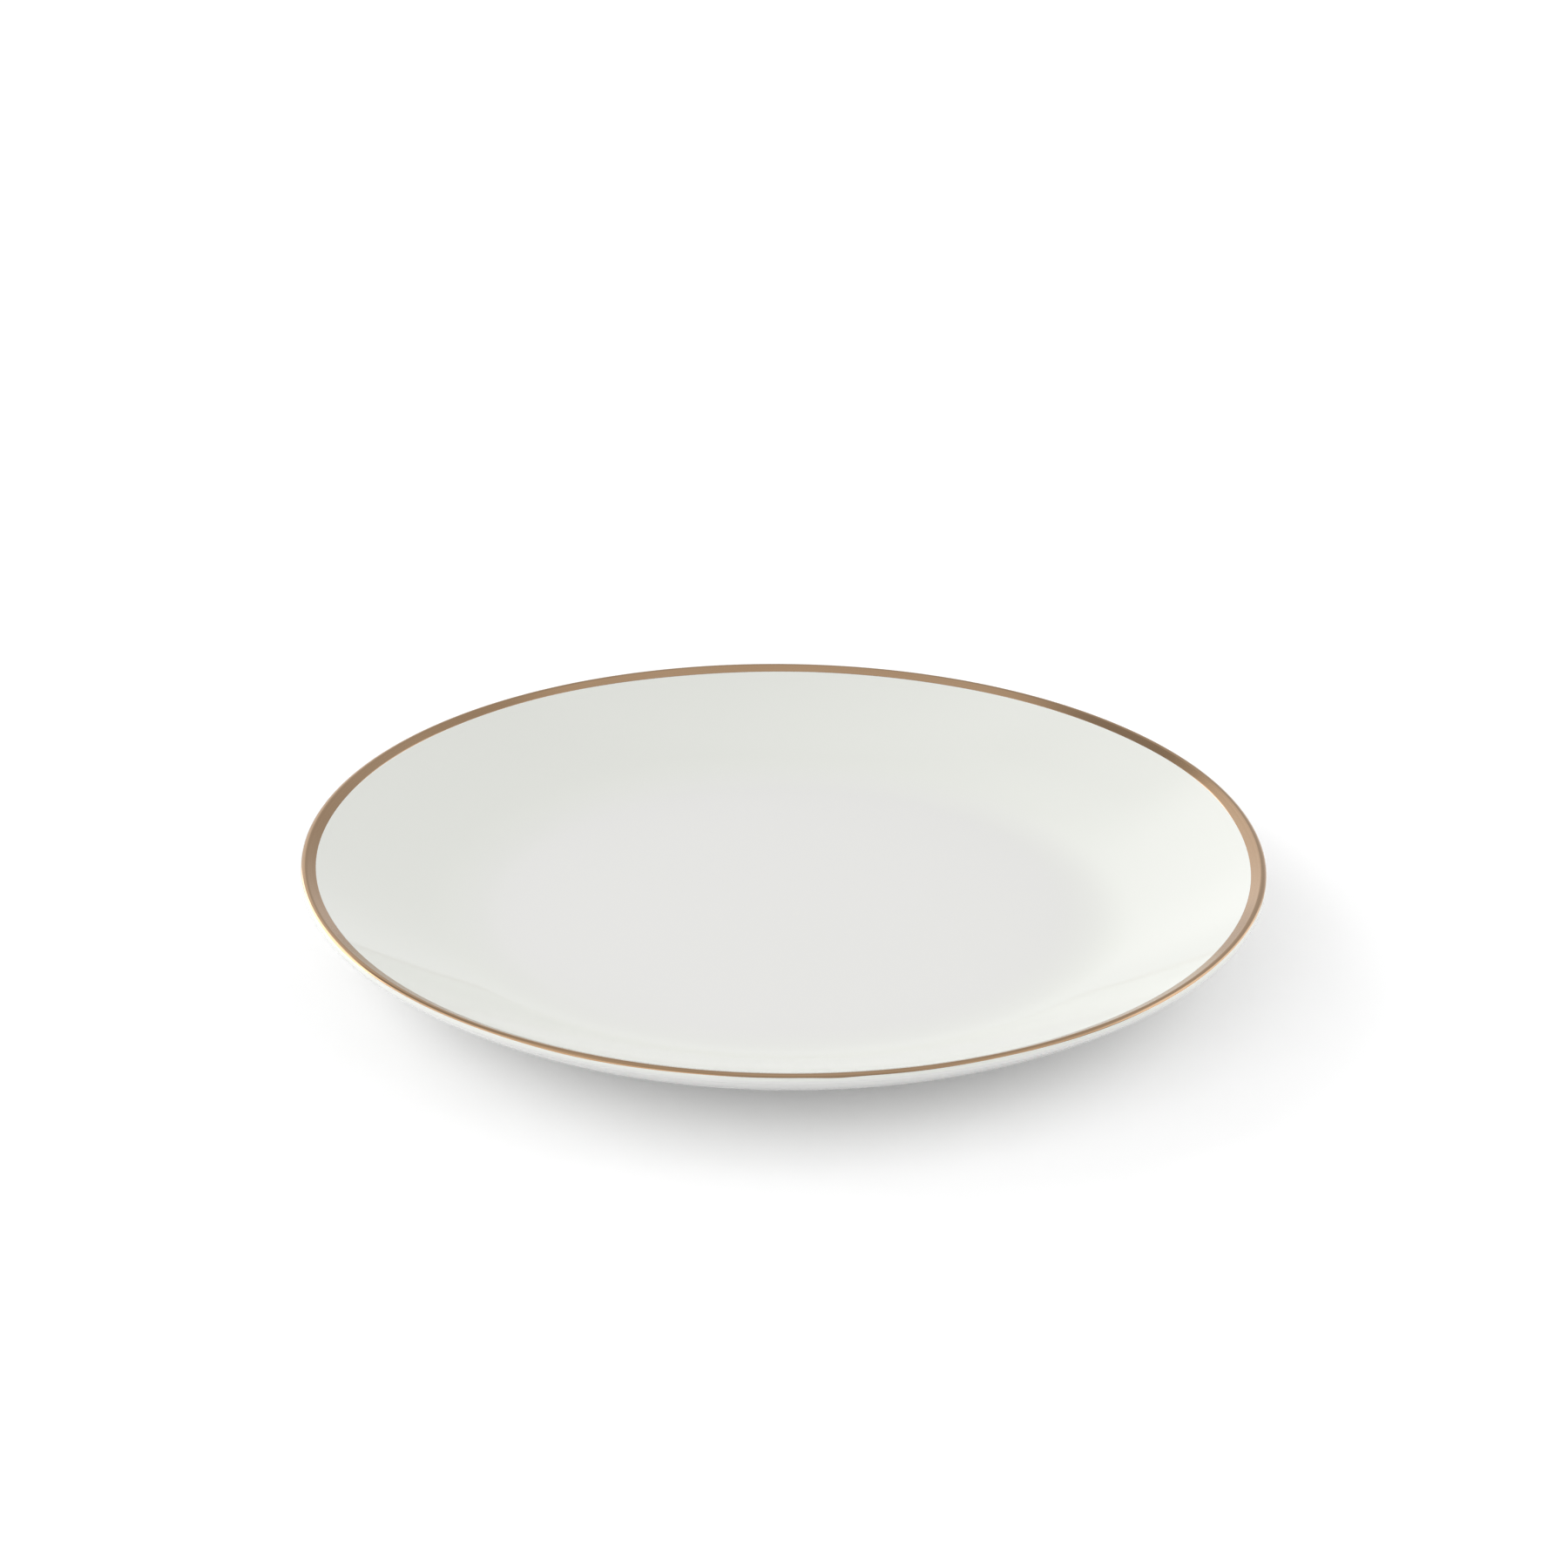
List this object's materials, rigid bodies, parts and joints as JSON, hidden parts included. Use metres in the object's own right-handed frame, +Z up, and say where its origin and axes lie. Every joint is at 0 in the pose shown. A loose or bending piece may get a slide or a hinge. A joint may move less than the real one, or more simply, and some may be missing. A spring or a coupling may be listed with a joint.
{
  "type": "dinner plate",
  "caption": "Round coupe dinner plate of glazed bone china, with a flat well, a curved wall, a gold-lined rim and a foot ring underneath.",
  "frame": {"origin": "centre of the foot ring's contact plane", "axes": "+Z up, out of the eating surface, along the plate's axis of revolution; X and Y are any two directions across it"},
  "size_m": [0.27, 0.27, 0.0236],
  "materials": {
    "bone_china": "matte, unglazed",
    "clear_glaze": "glossy",
    "fired_gold": "burnished, fired on",
    "printed_gold": "satin, fired on"
  },
  "bodies": {
    "root": {"china_body": "bone_china", "glaze_coat": "clear_glaze", "glaze_base": "clear_glaze", "gold_rim_band": "fired_gold", "backstamp": "printed_gold"}
  },
  "joints": []
}
